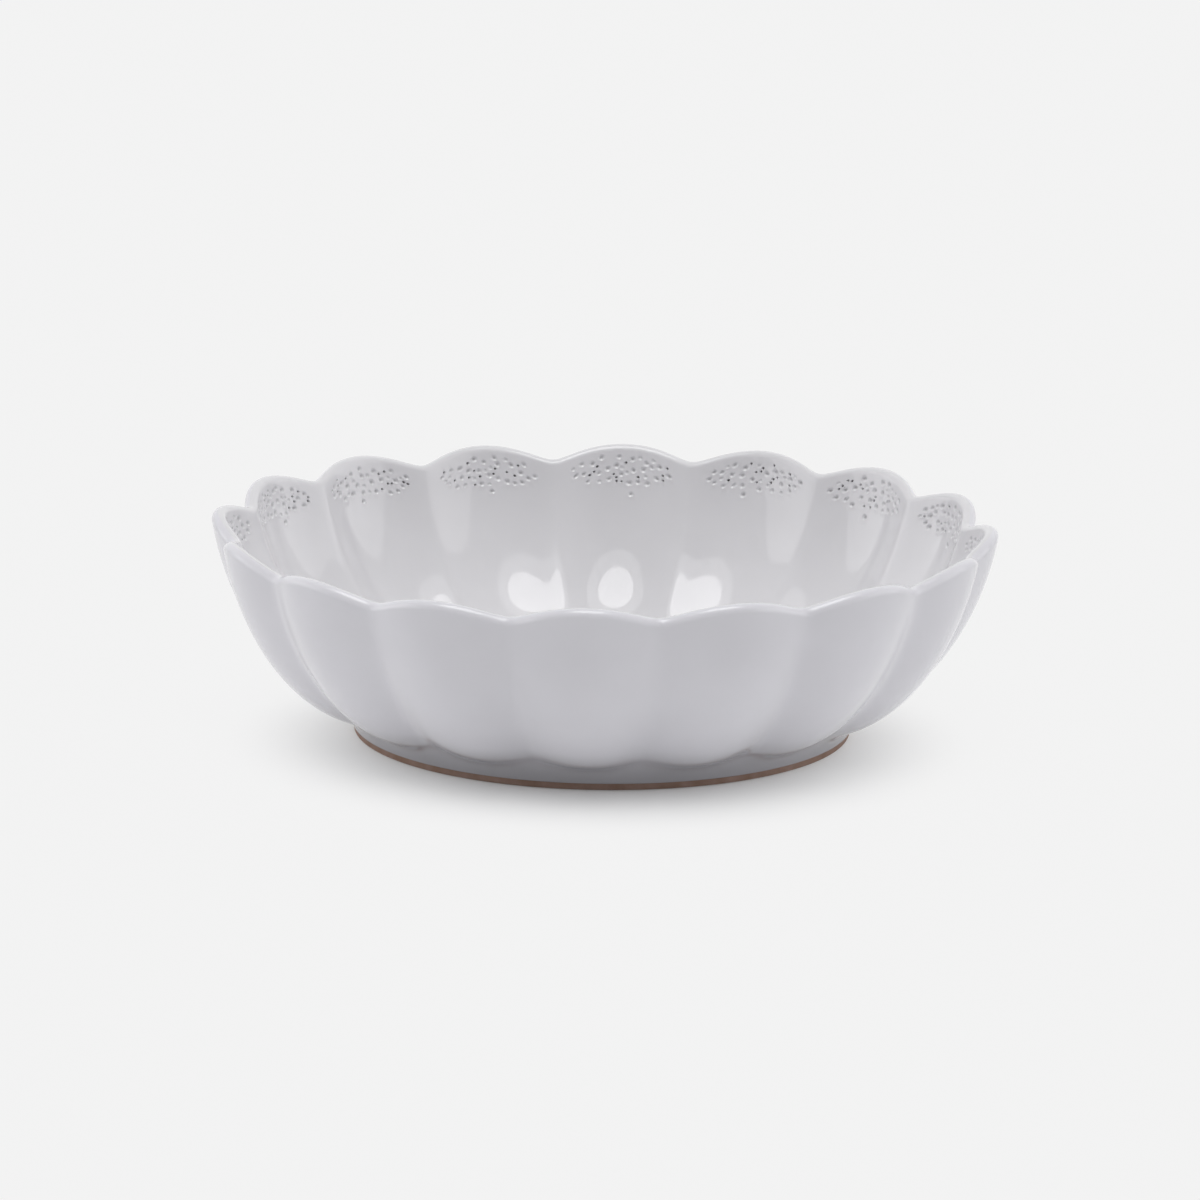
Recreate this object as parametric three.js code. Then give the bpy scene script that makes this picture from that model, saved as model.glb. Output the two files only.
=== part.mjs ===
// A lobed stoneware serving bowl on a low foot ring, glazed inside and out.
// Millimetres, +Z up. The origin is the middle of the circle that the foot stands on.

import * as THREE from 'three';

// Driving dimensions of the wall and rim

// The wall is pressed into this many lobes, and one of them points along +X.
const LOBES = 16;
// Outer radius and height of the rim at the middle of a lobe.
const RIM_RADIUS = 125;
const RIM_HEIGHT = 67.6;
// How far the rim dips and draws in where two lobes meet.
const RIM_DIP = 4.4;
const RIM_DRAW_IN = 5;
// The wall through clay and glaze, with a half-round rim of the same width.
const WALL = 4.6;
const GLAZE = 0.5;
// How soft the crease between two lobes is, as a share of half a lobe.
const CREASE_SOFTNESS = 0.18;

// Driving dimensions of the foot and floor

// The glazed foot's radius at its top, and how much it narrows on its way down.
const FOOT_RADIUS = 80.9;
const FOOT_TAPER = 1.2;
// The clay ring under the bowl: its height, its width and the roundness of its lower edges.
const FOOT_HEIGHT = 6;
const FOOT_WIDTH = 7.5;
const FOOT_EDGE = 0.6;
// The strip at the bottom of the foot that is wiped free of glaze.
const BARE_EDGE = 2.1;
// Glaze gathers this far out of the corner between the foot and the underside.
const GLAZE_POOL = 1;
// The floor through clay and both glazes, and the radius of its flat middle.
const FLOOR = 4.1;
const FLOOR_RADIUS = 60;

// The two sections that shape the wall: through the middle of a lobe, and through a crease.
// seatOut and seatUp place the wall's lower end from the foot's top edge. The curve leaves it
// at seatSlope degrees from level and reaches the rim at rimLean degrees from upright.
// The pulls are the lengths of the curve's two handles.
const LOBE = {
  seatOut: 0.8,
  seatUp: 1.2,
  seatSlope: 10.7,
  seatPull: 20,
  rimLean: 9.6,
  rimPull: 30.5,
  rimRadius: RIM_RADIUS,
  rimHeight: RIM_HEIGHT,
};
const CREASE = {
  seatOut: 2.6,
  seatUp: 3.2,
  seatSlope: 21.9,
  seatPull: 15.5,
  rimLean: 12.7,
  rimPull: 25.4,
  rimRadius: RIM_RADIUS - RIM_DRAW_IN,
  rimHeight: RIM_HEIGHT - RIM_DIP,
};

// Facets: flat columns in each lobe, and steps along each stretch of a section.
const COLUMNS_PER_LOBE = 6;
const FLARE_STEPS = 2;
const WALL_STEPS = 6;
const HALF_RIM_STEPS = 2;
const FLOOR_STEPS = 2;

// Values that follow from the driving dimensions

const COLUMNS = LOBES * COLUMNS_PER_LOBE;
const CLAY_FOOT_RADIUS = FOOT_RADIUS - GLAZE;
const BARE_RADIUS = CLAY_FOOT_RADIUS - FOOT_TAPER;
const FOOT_INNER_RADIUS = BARE_RADIUS - FOOT_WIDTH;
const UNDERSIDE = FOOT_HEIGHT - GLAZE;
const FLOOR_TOP = UNDERSIDE + FLOOR;
// Where the outer glaze meets the inner one, as an index along a section.
const RIM_TOP = FLARE_STEPS + WALL_STEPS + HALF_RIM_STEPS;

// A point of a section: distance from the axis, and height.
function at(radius, height) {
  return new THREE.Vector2(radius, height);
}

// A unit direction at an angle from level, in degrees.
function direction(degrees) {
  const angle = THREE.MathUtils.degToRad(degrees);
  return at(Math.cos(angle), Math.sin(angle));
}

// The normal on the right of a curve, which points out of the bowl on a curve that climbs.
function outwardNormal(curve, share) {
  const tangent = curve.getTangent(share);
  return at(tangent.y, -tangent.x);
}

// Points along a curve, moved inwards by a distance. The step at the curve's start is left out.
function insetCurve(curve, steps, inset) {
  const points = [];
  for (let step = 1; step <= steps; step += 1) {
    const share = step / steps;
    points.push(curve.getPoint(share).addScaledVector(outwardNormal(curve, share), -inset));
  }
  return points;
}

// The bowl's section from the foot's top edge, up the outside, over the rim, down the inside
// and along the floor to the axis. It lies this deep under the glazed surface.
function bowlSection(shape, depth) {
  const rimOut = direction(-shape.rimLean);
  const rimUp = direction(90 - shape.rimLean);
  const seatAlong = direction(shape.seatSlope);
  const seat = at(FOOT_RADIUS + shape.seatOut, FOOT_HEIGHT + shape.seatUp);
  const rimCentre = at(shape.rimRadius - WALL / 2, shape.rimHeight - WALL / 2);
  const wallTop = rimCentre.clone().addScaledVector(rimOut, WALL / 2);
  const wall = new THREE.CubicBezierCurve(
    seat,
    seat.clone().addScaledVector(seatAlong, shape.seatPull),
    wallTop.clone().addScaledVector(rimUp, -shape.rimPull),
    wallTop,
  );

  // The flare rises from the foot's side and runs on into the wall.
  const flareCorner = seat.y - (shape.seatOut * seatAlong.y) / seatAlong.x;
  const flare = new THREE.QuadraticBezierCurve(
    at(FOOT_RADIUS, FOOT_HEIGHT),
    at(FOOT_RADIUS, flareCorner),
    seat,
  );

  const rim = [];
  for (let step = 1; step < 2 * HALF_RIM_STEPS; step += 1) {
    const angle = (180 * step) / (2 * HALF_RIM_STEPS) - shape.rimLean;
    rim.push(rimCentre.clone().addScaledVector(direction(angle), WALL / 2 - depth));
  }

  // The inside is the outer wall moved inwards, and its lower end eases into the flat floor.
  const inside = insetCurve(wall, WALL_STEPS, WALL - depth).reverse();
  const insideSeat = seat.clone().addScaledVector(at(seatAlong.y, -seatAlong.x), depth - WALL);
  const floorHeight = FLOOR_TOP - depth;
  const easeCorner = insideSeat.x - ((insideSeat.y - floorHeight) * seatAlong.x) / seatAlong.y;
  const ease = new THREE.QuadraticBezierCurve(
    insideSeat,
    at(easeCorner, floorHeight),
    at(FLOOR_RADIUS, floorHeight),
  );

  return [
    at(FOOT_RADIUS - depth, FOOT_HEIGHT),
    ...insetCurve(flare, FLARE_STEPS, depth),
    ...insetCurve(wall, WALL_STEPS, depth),
    ...rim,
    ...inside,
    ...ease.getPoints(FLOOR_STEPS),
    at(0, floorHeight),
  ];
}

// From 0 on a crease to 1 on the middle of a lobe, round in between and softened at the crease.
function lobeShare(column) {
  const fromCrease = Math.abs(1 - (2 * (column % COLUMNS_PER_LOBE)) / COLUMNS_PER_LOBE);
  const softened = Math.hypot(fromCrease, CREASE_SOFTNESS) - CREASE_SOFTNESS;
  const share = softened / (Math.hypot(1, CREASE_SOFTNESS) - CREASE_SOFTNESS);
  return share * (2 - share);
}

// The corners of a face ring: two triangles split along the shorter diagonal, so that
// neighbouring pieces with the same points have the same facets.
function splitQuad(a, b, c, d, vertices) {
  const acrossAC = vertices[a].distanceToSquared(vertices[c]);
  const acrossBD = vertices[b].distanceToSquared(vertices[d]);
  const triangles = acrossAC < acrossBD ? [[a, b, c], [a, c, d]] : [[a, b, d], [b, c, d]];
  return triangles.filter((corners) => new Set(corners).size === 3);
}

// Sweeps a closed outline round the axis, from its form on a lobe to its form on a crease and
// back. The outlines run anticlockwise, and a point on the axis is one vertex for all columns.
function sweepRound(lobeOutline, creaseOutline) {
  const vertices = [];
  const columns = [];
  for (let column = 0; column < COLUMNS; column += 1) {
    const angle = (2 * Math.PI * column) / COLUMNS;
    columns.push(lobeOutline.map((lobePoint, index) => {
      const point = creaseOutline[index].clone().lerp(lobePoint, lobeShare(column));
      if (point.x === 0 && column > 0) {
        return columns[0][index];
      }
      vertices.push(new THREE.Vector3(point.x * Math.cos(angle), point.x * Math.sin(angle), point.y));
      return vertices.length - 1;
    }));
  }

  const faces = [];
  columns.forEach((here, column) => {
    const next = columns[(column + 1) % COLUMNS];
    here.forEach((vertex, index) => {
      const above = (index + 1) % here.length;
      const bothOnAxis = vertex === next[index] && here[above] === next[above];
      if (!bothOnAxis) {
        faces.push(...splitQuad(vertex, next[index], next[above], here[above], vertices));
      }
    });
  });

  const geometry = new THREE.BufferGeometry().setFromPoints(vertices);
  geometry.setIndex(faces.flat());
  geometry.computeVertexNormals();
  return geometry;
}

function piece(name, geometry, material) {
  const mesh = new THREE.Mesh(geometry, material);
  mesh.name = name;
  return mesh;
}

// The glazed surface and the clay surface under it, through a lobe and through a crease.
const SECTIONS = [LOBE, CREASE].map((shape) => ({
  skin: bowlSection(shape, 0),
  clay: bowlSection(shape, GLAZE),
}));

// Pressed stoneware: the lobed wall, the scalloped rim and the floor in one clay body.
function clayBowl() {
  const outlines = SECTIONS.map(({ clay }) => [at(0, FOOT_HEIGHT), ...clay]);
  const material = new THREE.MeshStandardMaterial({ color: '#9a7d6a', roughness: 0.9, metalness: 0 });
  return piece('clay_bowl', sweepRound(...outlines), material);
}

// The turned clay ring that is joined on under the floor. The bowl stands on its lower face.
function footRing() {
  const outline = [
    at(FOOT_INNER_RADIUS + FOOT_EDGE, 0),
    at(BARE_RADIUS - FOOT_EDGE, 0),
    at(BARE_RADIUS, FOOT_EDGE),
    at(BARE_RADIUS, BARE_EDGE),
    at(CLAY_FOOT_RADIUS, FOOT_HEIGHT),
    at(FOOT_INNER_RADIUS, FOOT_HEIGHT),
    at(FOOT_INNER_RADIUS, BARE_EDGE),
    at(FOOT_INNER_RADIUS, FOOT_EDGE),
  ];
  const material = new THREE.MeshStandardMaterial({ color: '#8b6f5e', roughness: 0.95, metalness: 0 });
  return piece('foot_ring', sweepRound(outline, outline), material);
}

// The coat on the outside, from the rim's top down the wall and the foot to the bare strip.
function outerGlaze() {
  const outlines = SECTIONS.map(({ skin, clay }) => [
    at(BARE_RADIUS + GLAZE, BARE_EDGE),
    ...skin.slice(0, RIM_TOP + 1),
    ...clay.slice(0, RIM_TOP + 1).reverse(),
    at(BARE_RADIUS, BARE_EDGE),
  ]);
  const material = new THREE.MeshStandardMaterial({ color: '#e9e9ec', roughness: 0.14, metalness: 0 });
  return piece('outer_glaze', sweepRound(...outlines), material);
}

// The coat on the inside, from the rim's top down over the wall and the floor.
function innerGlaze() {
  const outlines = SECTIONS.map(({ skin, clay }) => [
    ...skin.slice(RIM_TOP),
    ...clay.slice(RIM_TOP).reverse(),
  ]);
  const material = new THREE.MeshStandardMaterial({ color: '#ededee', roughness: 0.12, metalness: 0 });
  return piece('inner_glaze', sweepRound(...outlines), material);
}

// The coat under the floor, with a lip that runs down the inside of the foot ring.
function baseGlaze() {
  const lipRadius = FOOT_INNER_RADIUS - GLAZE;
  const outline = [
    at(0, UNDERSIDE),
    at(lipRadius - GLAZE_POOL, UNDERSIDE),
    at(lipRadius, UNDERSIDE - GLAZE_POOL),
    at(lipRadius, BARE_EDGE),
    at(FOOT_INNER_RADIUS, BARE_EDGE),
    at(FOOT_INNER_RADIUS, FOOT_HEIGHT),
    at(0, FOOT_HEIGHT),
  ];
  const material = new THREE.MeshStandardMaterial({ color: '#e4e4e6', roughness: 0.16, metalness: 0 });
  return piece('base_glaze', sweepRound(outline, outline), material);
}

const servingBowl = new THREE.Group();
servingBowl.add(clayBowl(), footRing(), outerGlaze(), innerGlaze(), baseGlaze());

export default servingBowl;
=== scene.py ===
# %% [markdown]
# # A lobed serving bowl in white glazed stoneware
#
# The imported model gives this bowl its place, its size and its separate bodies: a clay bowl, a
# foot ring and three coats of glaze. Its facets are coarse, so this lesson makes each of them
# again as a fine mesh in the same place, gives it a finish, and sets it under studio light.
# The bowl's lengths are in millimetres, and they become metres where a mesh is made. The floor's
# reach and the camera's place are in metres.

# %% Load the frame
import math

import bmesh
import bpy
import numpy as np
from mathutils import Matrix, Vector
from mathutils.geometry import delaunay_2d_cdt
from mathutils.kdtree import KDTree


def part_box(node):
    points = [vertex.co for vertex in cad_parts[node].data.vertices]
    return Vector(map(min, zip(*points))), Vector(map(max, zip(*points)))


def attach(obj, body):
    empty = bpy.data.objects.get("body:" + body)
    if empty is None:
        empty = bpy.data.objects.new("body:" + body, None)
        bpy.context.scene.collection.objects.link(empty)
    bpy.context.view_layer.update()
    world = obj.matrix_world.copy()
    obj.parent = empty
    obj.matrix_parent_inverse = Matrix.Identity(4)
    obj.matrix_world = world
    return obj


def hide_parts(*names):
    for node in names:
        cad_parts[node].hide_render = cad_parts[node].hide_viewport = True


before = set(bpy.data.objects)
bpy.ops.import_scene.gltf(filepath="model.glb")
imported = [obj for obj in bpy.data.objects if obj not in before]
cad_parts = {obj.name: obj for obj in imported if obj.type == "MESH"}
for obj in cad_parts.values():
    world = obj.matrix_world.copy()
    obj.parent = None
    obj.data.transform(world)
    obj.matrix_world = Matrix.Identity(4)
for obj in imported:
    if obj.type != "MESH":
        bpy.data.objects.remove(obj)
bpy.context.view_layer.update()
MM = 0.001

# %% [markdown]
# ## The sizes
#
# A bowl like this is pressed over a mould, so two sections give its whole shape: one through the
# middle of a lobe and one through the crease between two lobes. The wall swings from one to the
# other and back as it goes round. These are the sizes of the model, and the cell prints how far the
# rim of the frame is from them.

# %% Sizes of the bowl
LOBES = 16
RIM_RADIUS = 125.0
RIM_HEIGHT = 67.6
RIM_DIP = 4.4
RIM_DRAW_IN = 5.0
WALL = 4.6
GLAZE = 0.5
CREASE_SOFTNESS = 0.18
FOOT_RADIUS = 80.9
FOOT_TAPER = 1.2
FOOT_HEIGHT = 6.0
FOOT_WIDTH = 7.5
FOOT_EDGE = 0.6
BARE_EDGE = 2.1
GLAZE_POOL = 1.0
FLOOR = 4.1
FLOOR_RADIUS = 60.0

CLAY_FOOT_RADIUS = FOOT_RADIUS - GLAZE
BARE_RADIUS = CLAY_FOOT_RADIUS - FOOT_TAPER
FOOT_INNER_RADIUS = BARE_RADIUS - FOOT_WIDTH
UNDERSIDE = FOOT_HEIGHT - GLAZE
FLOOR_TOP = UNDERSIDE + FLOOR

LOBE = {
    "seat_out": 0.8,
    "seat_up": 1.2,
    "seat_slope": 10.7,
    "seat_pull": 20.0,
    "rim_lean": 9.6,
    "rim_pull": 30.5,
    "rim_radius": RIM_RADIUS,
    "rim_height": RIM_HEIGHT,
}
CREASE = {
    "seat_out": 2.6,
    "seat_up": 3.2,
    "seat_slope": 21.9,
    "seat_pull": 15.5,
    "rim_lean": 12.7,
    "rim_pull": 25.4,
    "rim_radius": RIM_RADIUS - RIM_DRAW_IN,
    "rim_height": RIM_HEIGHT - RIM_DIP,
}

outer_low, outer_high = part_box("outer_glaze")
print("rim radius off by", round(outer_high.x / MM - RIM_RADIUS, 2), "mm")
print("rim height off by", round(outer_high.z / MM - RIM_HEIGHT, 2), "mm")

# %% [markdown]
# ## The sections
#
# A section is a line of points, each a distance from the axis and a height. The outer wall is a
# Bezier curve, because four points are enough for its swell. The rim is a half circle as wide as
# the wall, and the inside is the same curve moved inwards by the wall's thickness. Every line can
# also be drawn some depth under the glaze, which is how the clay gets its own surface. Melted
# glaze pools in the corner above the foot, so a soft curve leads from the foot into the wall.

# %% Curves of a section
def direction(degrees):
    """A unit step at an angle from level."""
    return np.array([math.cos(math.radians(degrees)), math.sin(math.radians(degrees))])


def along(controls, share):
    """Points of the Bezier curve with these control points, by mixing neighbours until one is left."""
    share = np.asarray(share, float)[:, None]
    rows = [np.asarray(control, float) + 0 * share for control in controls]
    while len(rows) > 1:
        rows = [low + (high - low) * share for low, high in zip(rows, rows[1:])]
    return rows[0]


def moved_in(controls, share, distance):
    """The same curve, moved towards the bowl's inside by a distance."""
    tangent = along(np.diff(controls, axis=0), share)
    tangent /= np.linalg.norm(tangent, axis=1, keepdims=True)
    outward = np.stack([tangent[:, 1], -tangent[:, 0]], axis=1)
    return along(controls, share) - distance * outward


def seat_of(shape):
    """The lower end of the wall, just above the foot."""
    return np.array([FOOT_RADIUS + shape["seat_out"], FOOT_HEIGHT + shape["seat_up"]])


def rim_centre_of(shape):
    """The middle of the half-round rim."""
    return np.array([shape["rim_radius"] - WALL / 2, shape["rim_height"] - WALL / 2])


def wall_curve(shape):
    """Control points of the outer wall, from the foot to the rim."""
    seat = seat_of(shape)
    top = rim_centre_of(shape) + WALL / 2 * direction(-shape["rim_lean"])
    low_handle = seat + shape["seat_pull"] * direction(shape["seat_slope"])
    high_handle = top - shape["rim_pull"] * direction(90 - shape["rim_lean"])
    return np.array([seat, low_handle, high_handle, top])


print("control points of a lobe's wall:", wall_curve(LOBE).round(1).tolist())

# %% Lines of a section
# The pool in the corner reaches this share up the wall, and this far down the foot's side.
CORNER_SHARE = 0.08
CORNER_DROP = 2.2


def rim_arc(shape, depth, shares):
    """The half-round rim, from its outer end at 0 to its inner end at 1."""
    angles = 180 * np.asarray(shares) - shape["rim_lean"]
    reach = WALL / 2 - depth
    return np.array([rim_centre_of(shape) + reach * direction(angle) for angle in angles])


def outside_line(shape, depth, steps):
    """The outside from the foot's side to the rim's top, this deep under the glaze."""
    curve = wall_curve(shape)
    seat = along(curve, [CORNER_SHARE])[0]
    step = along(np.diff(curve, axis=0), [CORNER_SHARE])[0]
    rise = step[1] / step[0]
    lean = FOOT_TAPER / (FOOT_HEIGHT - BARE_EDGE)
    # The curve's corner is where the foot's side, carried on upwards, meets the wall's tangent.
    corner_height = (seat[1] + rise * (FOOT_RADIUS - lean * FOOT_HEIGHT - seat[0])) / (1 - rise * lean)
    heights = np.array([FOOT_HEIGHT - CORNER_DROP, corner_height])
    foot_top, corner = np.stack([FOOT_RADIUS + lean * (heights - FOOT_HEIGHT), heights], axis=1)
    flare = moved_in([foot_top, corner, seat], np.linspace(0, 1, steps["flare"] + 1), depth)
    wall = moved_in(curve, np.linspace(CORNER_SHARE, 1, steps["wall"] + 1)[1:], depth)
    rim = rim_arc(shape, depth, np.linspace(0, 0.5, steps["rim"] + 1)[1:])
    return np.vstack([flare, wall, rim])


def inside_wall(shape, shares, depth=0.0):
    """The inner wall at these shares of its height, from 0 above the foot to 1 at the rim."""
    return moved_in(wall_curve(shape), shares, WALL - depth)


def floor_ease(shape, steps, depth=0.0):
    """The turn from the inner wall's lower end to the flat floor."""
    start = inside_wall(shape, [0.0], depth)[0]
    level = FLOOR_TOP - depth
    run = (start[1] - level) / math.tan(math.radians(shape["seat_slope"]))
    controls = [start, [start[0] - run, level], [FLOOR_RADIUS, level]]
    return along(controls, np.linspace(0, 1, steps + 1)[1:])


FINE = {"flare": 8, "wall": 56, "rim": 10}
crest = outside_line(LOBE, 0, FINE)
print("outside line:", len(crest), "points, top at", crest[-1].round(1))

# %% [markdown]
# ## Going round
#
# Each lobe is round and each crease is a soft valley, so the share of lobe in the mix falls off
# like a parabola on both sides of a lobe and is blunted at the crease. The columns of the mesh
# crowd towards the creases, where the wall turns fastest. A pressed bowl is never quite true, so
# one smooth function bends all the pieces alike, by a millimetre or two at the rim.

# %% Columns round the bowl
HALF_LOBE_COLUMNS = 14
LOBE_ANGLE = 2 * math.pi / LOBES
half_turns = np.linspace(-math.pi / 2, math.pi / 2, 2 * HALF_LOBE_COLUMNS + 1)
ACROSS = np.sin(half_turns)
COLUMN_ANGLES = np.concatenate([LOBE_ANGLE * (lobe + ACROSS[:-1] / 2) for lobe in range(LOBES)])


def lobe_share(angles):
    """From 0 on a crease to 1 on the middle of a lobe."""
    from_crease = np.abs(1 - 2 * ((np.asarray(angles) / LOBE_ANGLE) % 1.0))
    blunt = np.hypot(from_crease, CREASE_SOFTNESS) - CREASE_SOFTNESS
    share = blunt / (math.hypot(1, CREASE_SOFTNESS) - CREASE_SOFTNESS)
    return share * (2 - share)


# Turns round the rim, then how far it rises and where, and how far it reaches out and where.
SWAYS = ((1, 0.33, 62, 1.35, 62), (2, 0.80, -44, 0.55, -104), (3, 0.68, 133, 0.58, -154))
RIPPLES = 6
RIPPLE_SWAY = 0.05
sway_rng = np.random.default_rng(41)
RIPPLE_TURNS = sway_rng.integers(9, 30, RIPPLES)
RIPPLE_PHASES = sway_rng.uniform(0, 2 * math.pi, RIPPLES)
RIPPLE_CLIMB = sway_rng.uniform(-0.09, 0.09, RIPPLES)


def hand_pressed(points):
    """Bends true points by the unevenness of a hand-pressed wall, most of all at the rim."""
    angle = np.arctan2(points[:, 1], points[:, 0])
    radius = np.hypot(points[:, 0], points[:, 1])
    height = points[:, 2]
    rise = np.zeros(len(points))
    reach = np.zeros(len(points))
    for turns, rise_mm, rise_phase, reach_mm, reach_phase in SWAYS:
        rise += rise_mm * np.cos(turns * angle - math.radians(rise_phase))
        reach += reach_mm * np.cos(turns * angle - math.radians(reach_phase))
    for turns, phase, climb in zip(RIPPLE_TURNS, RIPPLE_PHASES, RIPPLE_CLIMB):
        reach += RIPPLE_SWAY * np.cos(turns * angle + phase + climb * height)
    grip = np.clip((height - FLOOR_TOP) / (RIM_HEIGHT - FLOOR_TOP), 0, 1)
    new_radius = radius + reach * grip
    new_height = height + rise * grip
    return np.stack([new_radius * np.cos(angle), new_radius * np.sin(angle), new_height], axis=1)


def placed(lines, angles):
    """Points in space of a lobe line and a crease line, mixed at each of these angles."""
    lobe_line, crease_line = lines
    share = lobe_share(angles)[:, None, None]
    mixed = crease_line[None] + (lobe_line - crease_line)[None] * share
    radius = mixed[:, :, 0]
    turned = [radius * np.cos(angles)[:, None], radius * np.sin(angles)[:, None], mixed[:, :, 1]]
    return np.stack(turned, axis=2)


finest = RIM_RADIUS * np.diff(COLUMN_ANGLES).min()
print(len(COLUMN_ANGLES), "columns, the finest", round(finest, 2), "mm wide")

# %% [markdown]
# ## From lines to meshes
#
# A lathe would give round pieces only, so the mesh is laid out as a grid: one column for each
# angle and one row for each point of the outline. Pieces that are one closed ring, such as the
# foot, join the last row to the first. Pieces that reach the axis end in a small flat face.

# %% Grids and pieces
def grid_faces(columns, rows, first=0, ring=False):
    """Four-cornered faces of a grid that closes round the axis, and along its rows for a ring."""
    column, row = np.meshgrid(np.arange(columns), np.arange(rows if ring else rows - 1), indexing="ij")
    here, after = column * rows, (column + 1) % columns * rows
    above = (row + 1) % rows
    corners = [here + row, after + row, after + above, here + above]
    return (first + np.stack(corners, axis=2).reshape(-1, 4)).tolist()


def swept(lines, ring):
    """Vertices and faces of an outline that goes round the axis, with end caps where it isn't a ring."""
    grid = placed(lines, COLUMN_ANGLES)
    columns, rows = grid.shape[:2]
    faces = grid_faces(columns, rows, ring=ring)
    if not ring:
        faces.append([column * rows for column in reversed(range(columns))])
        faces.append([column * rows + rows - 1 for column in range(columns)])
    return grid.reshape(-1, 3), faces


WELD_MM = 0.005
PIT_LAYER = "pit_hollow_mm"


def cleaned(vertices, faces, hollows=None):
    """A bmesh of these faces with shared points joined and all faces turned outwards."""
    shape = bmesh.new()
    layer = shape.verts.layers.float.new(PIT_LAYER)
    corners = [shape.verts.new(Vector(point) * MM) for point in hand_pressed(np.asarray(vertices))]
    if hollows is not None:
        for corner, hollow in zip(corners, hollows):
            corner[layer] = hollow
    for face in faces:
        shape.faces.new([corners[index] for index in face])
    bmesh.ops.remove_doubles(shape, verts=shape.verts, dist=WELD_MM * MM)
    bmesh.ops.recalc_face_normals(shape, faces=shape.faces)
    return shape


def new_piece(name, shape, slot, *nodes):
    """An object that stands for these nodes of the model and moves with its body."""
    mesh = bpy.data.meshes.new(name)
    shape.to_mesh(mesh)
    shape.free()
    mesh.shade_smooth()
    piece = bpy.data.objects.new(name, mesh)
    bpy.context.scene.collection.objects.link(piece)
    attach(piece, "root")
    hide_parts(*nodes)
    print(name, "has", len(mesh.polygons), "faces")
    return piece


print("points closer than", WELD_MM, "mm are joined")

# %% [markdown]
# ## The outer coat
#
# The outside was dipped, so one even coat runs from the rim down the wall and the flare to the
# side of the foot. A wet sponge then wiped the lowest strip clean, which leaves the coat with a
# thin rounded lip there. The lines at depth 0 and at the glaze's thickness make it a closed shell.

# %% Outer glaze coat
LIP = 0.35
# The rounded lip, from its edge upwards: shares of the coat's thickness and of the lip's height.
LIP_SHARES = ((0.45, 0.0), (0.85, 0.35), (1.05, 1.0), (1.1, 2.0))


def outer_outline(shape):
    """The coat's section, up its skin and back down along the clay."""
    skin = outside_line(shape, 0, FINE)
    clay = outside_line(shape, GLAZE, FINE)[::-1]
    foot_skin = [[BARE_RADIUS + GLAZE * out, BARE_EDGE + LIP * up] for out, up in LIP_SHARES]
    foot_clay = [[BARE_RADIUS, BARE_EDGE]]
    return np.vstack([foot_skin, skin, clay, foot_clay])


outer_lines = [outer_outline(shape) for shape in (LOBE, CREASE)]
outer_coat = new_piece(
    "outer_glaze_coat", cleaned(*swept(outer_lines, ring=True)), "white_glaze", "outer_glaze"
)

# %% [markdown]
# ## The pricked fans
#
# Under each scallop, on the inside, the maker pricked the soft clay with a pin and a blunt tool:
# a loose fan of small pits that follows the rim. Each push raised a burr of clay under its pit,
# which catches the light as a white edge. Bump would leave all that flat from the side, so the
# pits are real hollows. Each lobe throws its pits like darts, the widest first, and every pit
# goes to the roomiest of a few places. The sizes come from the photograph, and the layout is a
# random one for each lobe.

# %% Darts for the pits
# A fan's edges under the rim, and how far they close in at its two ends.
FAN_HALF_WIDTH = 17.0
FAN_TOP = 1.6
FAN_TUCK = 1.7
FAN_BOTTOM = 10.6
FAN_LIFT = 5.4
# Places tried for each pit.
FAN_TRIES = 14
# Pits that slipped, just below the middle of the fan.
STRAYS = 1
STRAY_TOP = FAN_BOTTOM + 1.5
STRAY_BOTTOM = 14.5
STRAY_SPREAD = 0.35
# How many, radius, stretch, depth as a share of the radius, and the share of the radius that is side.
DENTS = (23, (0.82, 1.00), (1.05, 1.35), (0.56, 0.66), 0.70)
FILLED_DENTS = (9, (0.64, 0.82), (1.05, 1.30), (0.44, 0.52), 0.66)
PIN_HOLES = (12, (0.42, 0.52), (1.0, 1.15), (2.0, 2.4), 0.55)
PIT_TURN = 0.25
fan_rng = np.random.default_rng(7)


def dart(stray):
    """A place across and down, in the fan or just below it."""
    x = fan_rng.uniform(-FAN_HALF_WIDTH, FAN_HALF_WIDTH) * (STRAY_SPREAD if stray else 1.0)
    out = abs(x) / FAN_HALF_WIDTH
    top = STRAY_TOP if stray else FAN_TOP + FAN_TUCK * out**4
    bottom = STRAY_BOTTOM if stray else FAN_BOTTOM - FAN_LIFT * out**4
    return x, fan_rng.uniform(top, bottom)


def room(place, width, pits):
    """The least gap between a pit of this half width here and the ones before it."""
    gaps = [math.dist(place, pit[:2]) - width - pit[2] * pit[3] for pit in pits]
    return min(gaps, default=FAN_HALF_WIDTH)


def thrown_fan():
    """The pits of one lobe, the widest first: place, radius, stretch, turn, depth and side of each."""
    pits = []
    for count, radii, stretches, depths, side in (DENTS, FILLED_DENTS, PIN_HOLES):
        for _ in range(count):
            radius, stretch = fan_rng.uniform(*radii), fan_rng.uniform(*stretches)
            turn, depth = fan_rng.normal(0, PIT_TURN), radius * fan_rng.uniform(*depths)
            places = [dart(stray=len(pits) < STRAYS) for _ in range(FAN_TRIES)]
            place = max(places, key=lambda spot: room(spot, radius * stretch, pits))
            if room(place, radius * stretch, pits) > 0:
                pits.append((*place, radius, stretch, turn, depth, side))
    return pits


fans = [thrown_fan() for _ in range(LOBES)]
print("pits on each lobe:", [len(fan) for fan in fans])

# %% [markdown]
# The band under the rim needs fine faces at the pits and only there. So every pit brings its own
# rings of points, a plain grid fills the rest, and a Delaunay triangulation joins them all into
# one skin. The points on the band's edges are those of the neighbouring grids.

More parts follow.
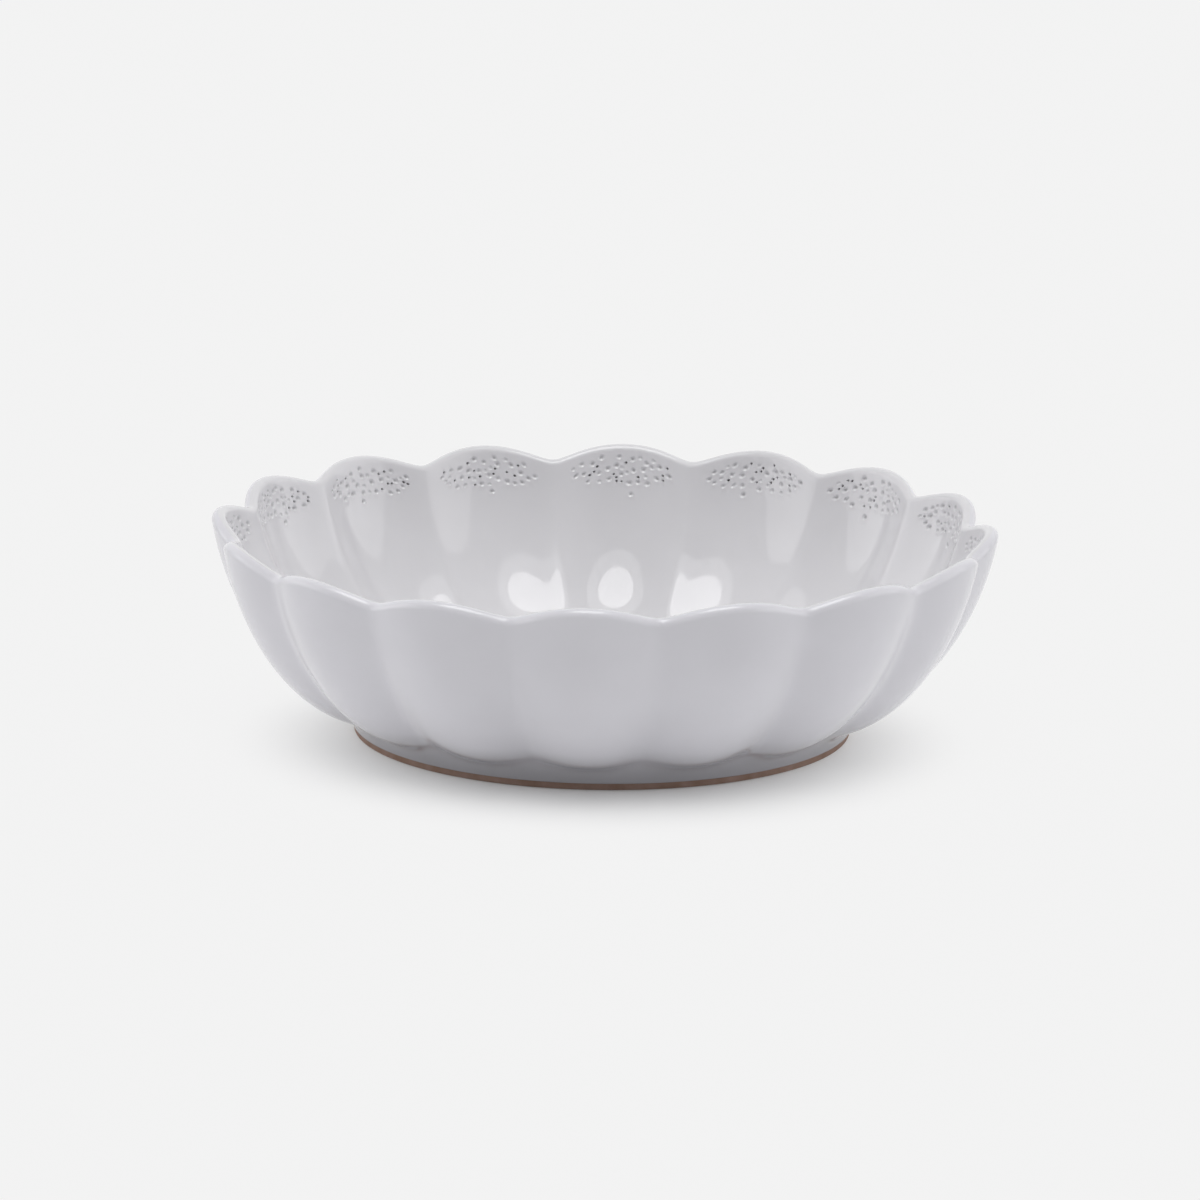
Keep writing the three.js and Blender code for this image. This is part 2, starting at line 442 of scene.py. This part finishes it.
# %% Hollow of a pit
# The deepest point lies this share of the radius above a pit's middle.
PIT_SKEW = 0.15
# Where the side starts to fall, and how much its two ends are rounded.
PIT_EDGE = 1.02
ROUNDING = 0.3
# Height, place and spread of the burr, as shares of the pit's radius.
BURR_HEIGHT, BURR_REACH, BURR_SPREAD = 0.12, 1.12, 0.18


def pit_reach(x, y, pit):
    """Share of the way from a pit's deepest point, above its middle, to its edge at 1."""
    across, down, radius, stretch, turn = pit[:5]
    along_pit = (x - across) * math.cos(turn) + (y - down) * math.sin(turn)
    over_pit = (y - down) * math.cos(turn) - (x - across) * math.sin(turn)
    step_x, step_y = along_pit / (radius * stretch), over_pit / radius + PIT_SKEW
    length = step_x**2 + step_y**2
    lean = PIT_SKEW * step_y
    return length / (lean + np.sqrt(lean**2 + length * (1 - PIT_SKEW**2)) + 1e-12)


def pit_hollow(x, y, pits):
    """How deep the surface lies in the pits, with a raised burr of clay under each."""
    hollow = np.zeros_like(x)
    for pit in pits:
        reach = pit_reach(x, y, pit)
        fall = np.clip((PIT_EDGE - reach) / pit[6], 0, 1)
        hollow += pit[5] * fall * (1 + ROUNDING * (fall * (3 - 2 * fall) - 1))
        below = np.clip((y - pit[1]) / (pit[2] * np.maximum(reach, 0.5)), 0, 1)
        ridge = np.exp(-(((reach - BURR_REACH) / BURR_SPREAD) ** 2))
        hollow -= BURR_HEIGHT * pit[2] * below * ridge
    return hollow


first_pit = fans[0][0]
first_hollow = pit_hollow(np.array([first_pit[0]]), np.array([first_pit[1]]), [first_pit])
print("a dent is", first_hollow.round(2), "mm deep at its middle")

# %% Points of the pricked band
# The band's height along the wall, the share of the wall's curve where it ends, and its mean radius.
BAND = 25.0
BAND_LOW = 0.7
BAND_RADIUS = 118.0
BAND_ROWS = 12
HALF_LOBE_WIDTH = BAND_RADIUS * math.pi / LOBES
# Each ring's reach from the deepest point, and its number of points.
PIT_RINGS = ((0.0, 1), (0.3, 6), (0.64, 11), (0.96, 14), (1.12, 15), (1.4, 15))
# The grid keeps this many radii away from a pit, and rings this far below the rim.
GRID_CLEARANCE = 1.7
EDGE_CLEARANCE = 0.2


def band_points(pits):
    """Places across and down the band: the grid away from the pits, and rings on each pit."""
    across, down = np.meshgrid(ACROSS * HALF_LOBE_WIDTH, np.linspace(0, BAND, BAND_ROWS + 1))
    points = np.stack([across.ravel(), down.ravel()], axis=1)
    edge = (np.abs(points[:, 0]) > HALF_LOBE_WIDTH * 0.999) | (points[:, 1] < 1e-6)
    edge |= points[:, 1] > BAND - 1e-6
    clear = np.ones(len(points), bool)
    for pit in pits:
        clear &= pit_reach(points[:, 0], points[:, 1], pit) > GRID_CLEARANCE
    rings = [points[edge | clear]]
    for across_pit, down_pit, radius, stretch, turn, *_ in pits:
        for reach, count in PIT_RINGS:
            angle = np.arange(count) * 2 * math.pi / count + reach
            long_way = radius * stretch * reach * np.cos(angle)
            short_way = radius * (reach * np.sin(angle) + (reach - 1) * PIT_SKEW)
            x = across_pit + long_way * math.cos(turn) - short_way * math.sin(turn)
            y = down_pit + long_way * math.sin(turn) + short_way * math.cos(turn)
            rings.append(np.stack([x, y], axis=1)[y > EDGE_CLEARANCE])
    return np.vstack(rings)


print("points in the first band:", len(band_points(fans[0])))

# %% Skin of the pricked band
# The slope at a place is measured over this step on both sides of it.
PROBE = 0.05


def inner_surface(x, y, lobe):
    """Points in space of places on the band of one lobe."""
    share_up = 1 - y / BAND * (1 - BAND_LOW)
    share = lobe_share(x / HALF_LOBE_WIDTH * LOBE_ANGLE / 2)[:, None]
    lobe_line, crease_line = inside_wall(LOBE, share_up), inside_wall(CREASE, share_up)
    mixed = crease_line + (lobe_line - crease_line) * share
    angle = LOBE_ANGLE * (lobe + x / HALF_LOBE_WIDTH / 2)
    return np.stack([mixed[:, 0] * np.cos(angle), mixed[:, 0] * np.sin(angle), mixed[:, 1]], axis=1)


def pricked_band(lobe, pits):
    """Vertices, faces and hollows of one lobe's band."""
    flat = [Vector(point) for point in band_points(pits)]
    # Kind 0 of the triangulation fills everything between the points.
    corners, _, faces, *_ = delaunay_2d_cdt(flat, [], [], 0, 1e-5)
    x = np.array([corner.x for corner in corners])
    y = np.array([corner.y for corner in corners])
    near_x = np.clip(x, -HALF_LOBE_WIDTH + PROBE, HALF_LOBE_WIDTH - PROBE)
    near_y = np.clip(y, PROBE, BAND - PROBE)
    sideways = inner_surface(near_x + PROBE, near_y, lobe) - inner_surface(near_x - PROBE, near_y, lobe)
    downwards = inner_surface(near_x, near_y + PROBE, lobe) - inner_surface(near_x, near_y - PROBE, lobe)
    into_clay = np.cross(downwards, sideways)
    into_clay /= np.linalg.norm(into_clay, axis=1, keepdims=True)
    middle = inner_surface(x, y, lobe)
    outward = np.sum(into_clay[:, :2] * middle[:, :2], axis=1, keepdims=True)
    into_clay *= np.sign(outward)
    hollow = pit_hollow(x, y, pits)
    return middle + into_clay * hollow[:, None], faces, hollow


bands = [pricked_band(lobe, pits) for lobe, pits in enumerate(fans)]
print("faces in the band:", sum(len(faces) for _, faces, _ in bands))

# %% [markdown]
# ## The inner coat
#
# Glaze was poured in and swirled round, so the coat covers the wall and the floor and meets the
# outer coat on the rim. Its skin is made of the rim's inner half, the pricked bands, the lower
# wall with its turn to the floor, and the floor. They share their edge points and are welded.

# %% Inner glaze coat
INNER_WALL_STEPS = 18
EASE_STEPS = 10
BACK_WALL_STEPS = 30
BACK_RIM_STEPS = 4
FLOOR_RINGS = (50.0, 40.0, 30.0, 20.0, 10.0, 2.0)
# The coat's back lies this much deeper behind the pits, and eases out below them.
PIT_ROOM = 1.5
PIT_ROOM_EASE = 0.04


def upper_line(shape):
    """The inner half of the rim."""
    return rim_arc(shape, 0, np.linspace(0.5, 1, FINE["rim"] + 1))


def lower_line(shape):
    """The inside from the band's lower edge to the axis."""
    wall = inside_wall(shape, np.linspace(BAND_LOW, 0, INNER_WALL_STEPS + 1))
    floor = [[radius, FLOOR_TOP] for radius in FLOOR_RINGS]
    return np.vstack([wall, floor_ease(shape, EASE_STEPS), floor])


def behind_pits(shape, depth):
    """The inside from the rim's top to the axis, this deep, and deeper behind the pricked band."""
    shares = np.linspace(1, 0, BACK_WALL_STEPS + 1)
    pit_room = PIT_ROOM * np.clip((shares - BAND_LOW + PIT_ROOM_EASE) / PIT_ROOM_EASE, 0, 1)
    rim = rim_arc(shape, depth, np.linspace(0.5, 0.95, BACK_RIM_STEPS + 1))
    wall = inside_wall(shape, shares, (depth + pit_room)[:, None])
    ease = floor_ease(shape, EASE_STEPS, depth)
    floor = [[radius, FLOOR_TOP - depth] for radius in FLOOR_RINGS]
    return np.vstack([rim, wall, ease, floor])


def inner_coat_parts():
    """Vertices, faces and hollows of the skin that the poured glaze has, and of its back."""
    upper = placed([upper_line(shape) for shape in (LOBE, CREASE)], COLUMN_ANGLES)
    lower = placed([lower_line(shape) for shape in (LOBE, CREASE)], COLUMN_ANGLES)
    back_lines = [
        np.vstack([upper_line(shape)[:1], behind_pits(shape, GLAZE)]) for shape in (LOBE, CREASE)
    ]
    back = placed(back_lines, COLUMN_ANGLES)
    vertices, faces, count = [], [], 0
    for grid in (upper, lower, back):
        columns, rows = grid.shape[:2]
        vertices.append(grid.reshape(-1, 3))
        faces += grid_faces(columns, rows, count)
        if grid is not upper:
            faces.append([count + column * rows + rows - 1 for column in range(columns)])
        count += columns * rows
    hollows = [np.zeros(count)]
    for band_vertices, band_faces, band_hollows in bands:
        vertices.append(band_vertices)
        faces += [[count + index for index in face] for face in band_faces]
        hollows.append(band_hollows)
        count += len(band_vertices)
    return np.vstack(vertices), faces, np.concatenate(hollows)


inner_coat = new_piece("inner_glaze_coat", cleaned(*inner_coat_parts()), "white_glaze", "inner_glaze")

# %% [markdown]
# The two coats meet on top of the rim, where a glossy surface would show the smallest break in
# its shading. On the real bowl they have melted into one. So the points on that line get the
# normals of the unbroken surface, worked out from the rows on both sides of it.

# %% Melt the coats together at the rim
def rim_normals():
    """Points and normals of the line where the coats meet."""
    # The seam's own row between one on each side of it.
    shares = (0.48, 0.5, 0.52)
    grid = placed([rim_arc(shape, 0, shares) for shape in (LOBE, CREASE)], COLUMN_ANGLES)
    columns = len(COLUMN_ANGLES)
    points = hand_pressed(grid.reshape(-1, 3)).reshape(columns, 3, 3)
    middle = points[:, 1]
    round_step = np.roll(middle, -1, axis=0) - np.roll(middle, 1, axis=0)
    over_step = points[:, 2] - points[:, 0]
    normals = np.cross(round_step, over_step)
    normals *= np.sign(normals[:, 2:3])
    return middle * MM, normals / np.linalg.norm(normals, axis=1, keepdims=True)


seam_points, seam_normals = rim_normals()
seam = KDTree(len(seam_points))
for index, point in enumerate(seam_points):
    seam.insert(point, index)
seam.balance()


def melt(piece):
    """Sets the seam's normals on a coat, and leaves its other points as they are."""
    normals = []
    for vertex in piece.data.vertices:
        _, index, distance = seam.find(vertex.co)
        on_seam = distance < WELD_MM * MM
        normals.append(seam_normals[index] if on_seam else (0.0, 0.0, 0.0))
    piece.data.normals_split_custom_set_from_vertices(normals)
    return sum(any(normal) for normal in normals)


print("points on the seam:", [melt(piece) for piece in (outer_coat, inner_coat)])

# %% [markdown]
# ## Clay, foot and base
#
# The clay shows only at the foot, as a thin brown line where the glaze was wiped off, and on the
# face that the bowl stands on. The body inside the coats is made too, set back a little from
# them so that no pit reaches it, and it ends flat on top of the foot. Under the floor lies one
# more coat with a pooled corner.

# %% Clay bowl, foot ring and base glaze
CLAY_GAP = 0.05
COARSE = {"flare": 4, "wall": 24, "rim": 4}
BASE_RINGS = (2.0, 20.0, 40.0, 55.0)


def clay_outline(shape):
    """The clay body's section, a hair's breadth from the coats on both sides."""
    outside = outside_line(shape, GLAZE + CLAY_GAP, COARSE)
    outside[:, 1] = np.maximum(outside[:, 1], FOOT_HEIGHT)
    inside = behind_pits(shape, GLAZE + CLAY_GAP)
    return np.vstack([[[BASE_RINGS[0], FOOT_HEIGHT]], outside, inside[1:]])


def rounded(corner, start, end, steps=5):
    """A soft corner between two points of an outline."""
    return along([start, corner, end], np.linspace(0, 1, steps + 1))


FOOT_OUTLINE = np.vstack([
    rounded(
        [FOOT_INNER_RADIUS, 0], [FOOT_INNER_RADIUS, FOOT_EDGE], [FOOT_INNER_RADIUS + FOOT_EDGE, 0]
    ),
    rounded([BARE_RADIUS, 0], [BARE_RADIUS - FOOT_EDGE, 0], [BARE_RADIUS, FOOT_EDGE]),
    [[BARE_RADIUS, BARE_EDGE]],
    [[CLAY_FOOT_RADIUS, FOOT_HEIGHT]],
    [[FOOT_INNER_RADIUS, FOOT_HEIGHT]],
    [[FOOT_INNER_RADIUS, BARE_EDGE]],
])
LIP_RADIUS = FOOT_INNER_RADIUS - GLAZE
BASE_OUTLINE = np.vstack([
    [[radius, UNDERSIDE] for radius in BASE_RINGS],
    rounded(
        [LIP_RADIUS, UNDERSIDE],
        [LIP_RADIUS - 2 * GLAZE_POOL, UNDERSIDE],
        [LIP_RADIUS, UNDERSIDE - 2 * GLAZE_POOL],
    ),
    rounded(
        [LIP_RADIUS, BARE_EDGE], [LIP_RADIUS, BARE_EDGE + LIP], [FOOT_INNER_RADIUS, BARE_EDGE]
    ),
    [[FOOT_INNER_RADIUS, FOOT_HEIGHT], [BASE_RINGS[0], FOOT_HEIGHT]],
])

clay_lines = [clay_outline(shape) for shape in (LOBE, CREASE)]
clay_body = new_piece(
    "stoneware_body", cleaned(*swept(clay_lines, ring=False)), "stoneware", "clay_bowl"
)
foot = new_piece(
    "stoneware_foot", cleaned(*swept([FOOT_OUTLINE] * 2, ring=True)), "stoneware", "foot_ring"
)
base_coat = new_piece(
    "base_glaze_coat", cleaned(*swept([BASE_OUTLINE] * 2, ring=False)), "white_glaze", "base_glaze"
)

# %% [markdown]
# ## Finishes
#
# Colours are written as on screen, in hex, and one function turns them into the linear values
# that Blender mixes. One more function adds a node with its settings and links, so that each
# finish below reads as a list of what the surface does.

# %% Colours and nodes
def linear(code, alpha=1.0):
    """Linear red, green, blue and alpha of a hex colour."""
    parts = [int(code[place:place + 2], 16) / 255 for place in (1, 3, 5)]
    bent = [part / 12.92 if part <= 0.04045 else ((part + 0.055) / 1.055) ** 2.4 for part in parts]
    return (*bent, alpha)


def node(tree, kind, settings=None, **inputs):
    """Adds a node. A setting is a property, and an input is a value or another node's output.

    An input is named as on the node, with _ for a blank, or by _ and its number.
    """
    added = tree.nodes.new(kind)
    for name, value in (settings or {}).items():
        setattr(added, name, value)
    for name, value in inputs.items():
        by_number = name[1:].isdigit()
        socket = added.inputs[int(name[1:]) if by_number else name.replace("_", " ")]
        if isinstance(value, bpy.types.NodeSocket):
            tree.links.new(value, socket)
        else:
            socket.default_value = value
    return added


def new_material(name):
    """An empty material, with its node tree and its output."""
    material = bpy.data.materials.new(name)
    material.use_nodes = True
    material.node_tree.nodes.clear()
    return material, material.node_tree, material.node_tree.nodes.new("ShaderNodeOutputMaterial")


def per_metre(size_mm):
    """A noise texture's scale for features of this size."""
    return 1 / (size_mm * MM)


print("half grey on screen is", round(linear("#808080")[0], 3), "in linear light")

# %% [markdown]
# ### White stoneware glaze
#
# The glaze is a glassy coat made opaque and white by tin or zircon. It melts into a smooth skin
# with a gloss like window glass, so its index is that of glass. Up close the skin is never flat:
# it heaves a little over the clay, and its gloss and its white drift where it lay thicker. The
# outer coat turns greyer towards the foot, which is painted shade under the bowl's belly. The pits
# darken with their depth: partly dark clay at the bottom of the deep pin holes, partly painted
# shade in all the pits. The poured coats get a warmer, less blue white than the dipped one, a
# painted tint of the yellow-green light that fruit in the bowl throws onto the inside.

# %% White glaze
# Widths of the skin's heaves, ripples and clouds of white, and heights of the first two.
HEAVE_MM, HEAVE_HEIGHT = 14.0, 0.12
RIPPLE_MM, RIPPLE_HEIGHT = 2.2, 0.02
CLOUD_MM = 45.0
# The pits' depths between which dark clay and painted shade come in, and how much of them comes in then.
CLAY_AND_SHADE_FROM, CLAY_AND_SHADE_TO, CLAY_AND_SHADE_MOST = 0.34, 1.1, 0.84
# The height up to which painted shade greys the dipped coat, and the share of white lost at its lower
# end.
FOOT_SHADE_TOP = 16.0
FOOT_SHADE_SHARE = 0.47
DIPPED_WHITES = ("#e4e3e9", "#e9e8ee")
# Warmer whites for the poured coats: a painted tint of light bounced from fruit in the bowl.
BOUNCE_TINTED_WHITES = ("#e4e3e6", "#e9e8eb")
FOOT_SHADE_GREY = "#929194"
PIT_DARK = "#3f3833"


def white_glaze(name, whites, foot_shade_share):
    """A coat's glaze, with its range of whites and the share of white lost to painted shade at the foot.
    """
    material, tree, output = new_material(name)
    place = node(tree, "ShaderNodeTexCoord").outputs["Object"]
    cloud = node(
        tree, "ShaderNodeTexNoise", Vector=place, Scale=per_metre(CLOUD_MM), Detail=3.0, Roughness=0.5
    )
    white = node(tree, "ShaderNodeValToRGB", Fac=cloud.outputs["Fac"])
    white.color_ramp.elements[0].position = 0.35
    white.color_ramp.elements[0].color = linear(whites[0])
    white.color_ramp.elements[1].position = 0.65
    white.color_ramp.elements[1].color = linear(whites[1])
    hollow = node(tree, "ShaderNodeAttribute", {"attribute_name": PIT_LAYER})
    # Partly dark clay at the bottom of deep pin holes, partly painted shade in all the pits.
    depth = node(
        tree, "ShaderNodeMapRange", Value=hollow.outputs["Fac"],
        From_Min=CLAY_AND_SHADE_FROM, From_Max=CLAY_AND_SHADE_TO, To_Min=0.0, To_Max=CLAY_AND_SHADE_MOST,
    )
    height = node(tree, "ShaderNodeSeparateXYZ", Vector=place).outputs["Z"]
    # Painted shade: the outer coat greys towards the foot, under the bowl's belly.
    painted_foot_shade = node(
        tree, "ShaderNodeMapRange", Value=height,
        From_Min=BARE_EDGE * MM, From_Max=FOOT_SHADE_TOP * MM, To_Min=foot_shade_share, To_Max=0.0,
    )
    coat = node(
        tree, "ShaderNodeMix", {"data_type": "RGBA"}, Factor=painted_foot_shade.outputs["Result"],
        _6=white.outputs["Color"], _7=linear(FOOT_SHADE_GREY),
    )
    colour = node(
        tree, "ShaderNodeMix", {"data_type": "RGBA"}, Factor=depth.outputs["Result"],
        _6=coat.outputs[2], _7=linear(PIT_DARK),
    )
    gloss = node(
        tree, "ShaderNodeMapRange", Value=cloud.outputs["Fac"],
        From_Min=0.3, From_Max=0.7, To_Min=0.05, To_Max=0.09,
    )
    heave = node(tree, "ShaderNodeTexNoise", Vector=place, Scale=per_metre(HEAVE_MM), Detail=1.0)
    ripple = node(tree, "ShaderNodeTexNoise", Vector=place, Scale=per_metre(RIPPLE_MM), Detail=2.0)
    low = node(
        tree, "ShaderNodeBump", Height=heave.outputs["Fac"], Strength=0.35, Distance=HEAVE_HEIGHT * MM
    )
    fine = node(
        tree, "ShaderNodeBump", Height=ripple.outputs["Fac"], Strength=0.25, Distance=RIPPLE_HEIGHT * MM,
        Normal=low.outputs["Normal"],
    )
    shader = node(
        tree, "ShaderNodeBsdfPrincipled", Base_Color=colour.outputs[2],
        Roughness=gloss.outputs["Result"], Normal=fine.outputs["Normal"], IOR=1.55,
    )
    tree.links.new(shader.outputs["BSDF"], output.inputs["Surface"])
    return material


# The dipped coat carries the painted shade towards the foot.
foot_shaded_finish = white_glaze("white_stoneware_glaze_foot_shaded", DIPPED_WHITES, FOOT_SHADE_SHARE)
# The poured coats' whites carry a painted tint of bounced light.
glaze_finish = white_glaze("white_stoneware_glaze", BOUNCE_TINTED_WHITES, 0.0)
outer_coat.data.materials.append(foot_shaded_finish)
for coat in (inner_coat, base_coat):
    coat.data.materials.append(glaze_finish)
print("glazes:", foot_shaded_finish.name, "and", glaze_finish.name)

# %% [markdown]
# ### Fired stoneware
#
# Bare stoneware is dense and matt. Iron in the clay turns it brown in the kiln, and grains of
# grog and sand break its surface, so the colour is mottled and the bump is gritty.

# %% Bare stoneware
# The grains are up to half a millimetre wide, and are drawn a little coarser so that they show.
GRIT_MM, GRIT_HEIGHT = 0.7, 0.12
MOTTLE_MM = 6.0
BROWNS = ("#a18372", "#b4978a")


def fired_stoneware():
    """Matt brown clay, mottled and gritty."""
    material, tree, output = new_material("fired_brown_stoneware")
    place = node(tree, "ShaderNodeTexCoord").outputs["Object"]
    mottle = node(tree, "ShaderNodeTexNoise", Vector=place, Scale=per_metre(MOTTLE_MM), Detail=4.0)
    brown = node(tree, "ShaderNodeValToRGB", Fac=mottle.outputs["Fac"])
    brown.color_ramp.elements[0].position = 0.3
    brown.color_ramp.elements[0].color = linear(BROWNS[0])
    brown.color_ramp.elements[1].position = 0.7
    brown.color_ramp.elements[1].color = linear(BROWNS[1])
    grit = node(tree, "ShaderNodeTexNoise", Vector=place, Scale=per_metre(GRIT_MM), Detail=3.0)
    rough = node(
        tree, "ShaderNodeMapRange", Value=grit.outputs["Fac"],
        From_Min=0.3, From_Max=0.7, To_Min=0.72, To_Max=0.95,
    )
    bump = node(
        tree, "ShaderNodeBump", Height=grit.outputs["Fac"], Strength=0.7, Distance=GRIT_HEIGHT * MM
    )
    shader = node(
        tree, "ShaderNodeBsdfPrincipled", Base_Color=brown.outputs["Color"],
        Roughness=rough.outputs["Result"], Normal=bump.outputs["Normal"], IOR=1.5,
    )
    tree.links.new(shader.outputs["BSDF"], output.inputs["Surface"])
    return material


clay_finish = fired_stoneware()
for clay in (clay_body, foot):
    clay.data.materials.append(clay_finish)
print("clay:", clay_finish.name)

# %% [markdown]
# ## The studio
#
# The photograph was taken on a pale sweep under a broad soft light from above, between two pale
# panels at the sides, with little light from the camera's side. Sun lamps with wide angles stand
# for these lights, because they give the same level all over the floor, and a second lamp makes
# the middle of the overhead light brighter. The world fills the shadows from behind and low down.
# The camera and mirror-like reflections see the world as a plain pale backdrop, and the floor
# turns into the same plain colour away from the foot, which lets the shadow fade out softly.
# From below the floor can't be seen, and it has a window that the foot covers, so that the base can
# be looked at too.

# %% Paper of the sweep
PALE = "#f3f3f3"
# The plain colour takes over between two distances from a point a little in front of the middle.
LIFT_SHIFT_MM = 17.0
LIFT_START_MM, LIFT_END_MM = 42.0, 121.0
LIFT_MOST = 0.97
TOOTH_MM, TOOTH_HEIGHT = 3.0, 0.05


def seen_directly(tree):
    """1 for what the camera sees, plainly or in a mirror or through glass, and 0 for diffuse light."""
    path = node(tree, "ShaderNodeLightPath")
    mirrored = node(
        tree, "ShaderNodeMath", {"operation": "MAXIMUM"},
        _0=path.outputs["Is Camera Ray"], _1=path.outputs["Is Glossy Ray"],
    )
    through = node(
        tree, "ShaderNodeMath", {"operation": "MAXIMUM"},
        _0=mirrored.outputs["Value"], _1=path.outputs["Is Transmission Ray"],
    )
    return through.outputs["Value"]


def pale_sweep():
    """Pale paper that keeps the bowl's shadow and is plain further off."""
    material, tree, output = new_material("pale_paper_sweep")
    place = node(tree, "ShaderNodeTexCoord").outputs["Object"]
    tooth = node(tree, "ShaderNodeTexNoise", Vector=place, Scale=per_metre(TOOTH_MM), Detail=2.0)
    bump = node(
        tree, "ShaderNodeBump", Height=tooth.outputs["Fac"], Strength=0.1, Distance=TOOTH_HEIGHT * MM
    )
    paper = node(
        tree, "ShaderNodeBsdfDiffuse", Color=linear(PALE), Normal=bump.outputs["Normal"]
    )
    glow = node(tree, "ShaderNodeEmission", Color=linear(PALE), Strength=1.0)
    middle = (0.0, -LIFT_SHIFT_MM * MM, 0.0)
    away_from = node(tree, "ShaderNodeVectorMath", {"operation": "DISTANCE"}, _0=place, _1=middle)
    lift = node(
        tree, "ShaderNodeMapRange", {"interpolation_type": "SMOOTHSTEP"},
        Value=away_from.outputs["Value"],
        From_Min=LIFT_START_MM * MM, From_Max=LIFT_END_MM * MM, To_Min=0.0, To_Max=LIFT_MOST,
    )
    share = node(
        tree, "ShaderNodeMath", {"operation": "MULTIPLY"},
        _0=seen_directly(tree), _1=lift.outputs["Result"],
    )
    shader = node(
        tree, "ShaderNodeMixShader", Fac=share.outputs["Value"],
        _1=paper.outputs["BSDF"], _2=glow.outputs["Emission"],
    )
    below = node(tree, "ShaderNodeNewGeometry").outputs["Backfacing"]
    clear = node(tree, "ShaderNodeBsdfTransparent")
    one_way = node(
        tree, "ShaderNodeMixShader", Fac=below, _1=shader.outputs["Shader"], _2=clear.outputs["BSDF"]
    )
    tree.links.new(one_way.outputs["Shader"], output.inputs["Surface"])
    return material


paper_finish = pale_sweep()
print("finish:", paper_finish.name)

# %% Floor
FLOOR_REACH = 6.0
FLOOR_DROP = 0.0002
FLOOR_SIDES = 64
WINDOW_MM = 76.0

floor_mesh = bpy.data.meshes.new("sweep")
floor_points = []
for side in range(FLOOR_SIDES):
    angle = 2 * math.pi * side / FLOOR_SIDES
    for reach in (FLOOR_REACH, WINDOW_MM * MM):
        floor_points.append((reach * math.cos(angle), reach * math.sin(angle), -FLOOR_DROP))
floor_mesh.from_pydata(floor_points, [], grid_faces(FLOOR_SIDES, 2))
floor_mesh.materials.append(paper_finish)
floor = bpy.data.objects.new("sweep", floor_mesh)
bpy.context.scene.collection.objects.link(floor)
print("floor:", 2 * FLOOR_REACH, "m wide")

# %% Lamps
# Where each light comes from, its strength, and how wide it looks from the bowl in degrees.
SOFTBOXES = {
    "overhead_softbox": ((0.0, -0.16, 1.0), 0.72, 54.0),
    "overhead_middle": ((0.0, -0.16, 1.0), 0.82, 34.0),
    "left_softbox": ((-1.0, 0.0, 0.0), 0.84, 64.0),
    "right_softbox": ((1.0, 0.0, 0.0), 0.78, 64.0),
}


def softbox(name, comes_from, strength, width):
    """A sun lamp, which lights all places alike, with the width of a softbox."""
    lamp = bpy.data.lights.new(name, "SUN")
    lamp.energy = strength
    lamp.angle = math.radians(width)
    holder = bpy.data.objects.new(name, lamp)
    holder.rotation_euler = Vector(comes_from).to_track_quat("Z", "Y").to_euler()
    bpy.context.scene.collection.objects.link(holder)


for name, settings in SOFTBOXES.items():
    softbox(name, *settings)

print("softboxes:", sorted(SOFTBOXES))

# %% World
# The fill's level, and how it grows in one direction.
FILL = 0.50
FILL_TILT = (0.0, 0.32, -0.22)

world = bpy.data.worlds.new("studio")
bpy.context.scene.world = world
world.use_nodes = True
sky = world.node_tree
sky.nodes.clear()
toward = node(sky, "ShaderNodeTexCoord").outputs["Generated"]
tilt = node(sky, "ShaderNodeVectorMath", {"operation": "DOT_PRODUCT"}, _0=toward, _1=FILL_TILT)
level = node(sky, "ShaderNodeMath", {"operation": "ADD"}, _0=tilt.outputs["Value"], _1=FILL)
filling = node(sky, "ShaderNodeBackground", Color=(1.0, 1.0, 1.0, 1.0), Strength=level.outputs["Value"])
backdrop = node(sky, "ShaderNodeBackground", Color=linear(PALE), Strength=1.0)
mixed = node(
    sky, "ShaderNodeMixShader", Fac=seen_directly(sky),
    _1=filling.outputs["Background"], _2=backdrop.outputs["Background"],
)
world_output = node(sky, "ShaderNodeOutputWorld", Surface=mixed.outputs["Shader"])
bpy.context.scene.view_settings.view_transform = "Standard"
print("fill:", FILL, "tilted by", FILL_TILT)

# %% [markdown]
# ## The camera
#
# A long lens stands two metres off, looks down by about twelve degrees, and leans over by less
# than one. Its place was found by fitting the rim's and the foot's outlines. The lens is given by
# how many pixels of the square picture one unit of slope covers.

# %% Camera
IMAGE_SIDE = 1200
FOCAL_PIXELS = 6298
SENSOR = 36.0
CAMERA_DISTANCE = 2.0
CAMERA_AZIMUTH = 2.88
CAMERA_ELEVATION = 12.46
CAMERA_ROLL = 0.68
CAMERA_PIVOT = Vector((0.0, 0.0, 0.065))
AIM = Vector((-0.0008, -0.0049, 0.0428))

azimuth, elevation = math.radians(CAMERA_AZIMUTH), math.radians(CAMERA_ELEVATION)
away = Vector((
    math.sin(azimuth) * math.cos(elevation),
    -math.cos(azimuth) * math.cos(elevation),
    math.sin(elevation),
))
lens = bpy.data.cameras.new("camera")
lens.sensor_width = SENSOR
lens.lens = SENSOR * FOCAL_PIXELS / IMAGE_SIDE
camera = bpy.data.objects.new("camera", lens)
bpy.context.scene.collection.objects.link(camera)
stand = CAMERA_PIVOT + CAMERA_DISTANCE * away
turn = (AIM - stand).to_track_quat("-Z", "Y").to_matrix().to_4x4()
roll = Matrix.Rotation(math.radians(CAMERA_ROLL), 4, "Z")
camera.matrix_world = Matrix.Translation(stand) @ turn @ roll
bpy.context.scene.camera = camera
print("lens:", round(lens.lens, 1), "mm")
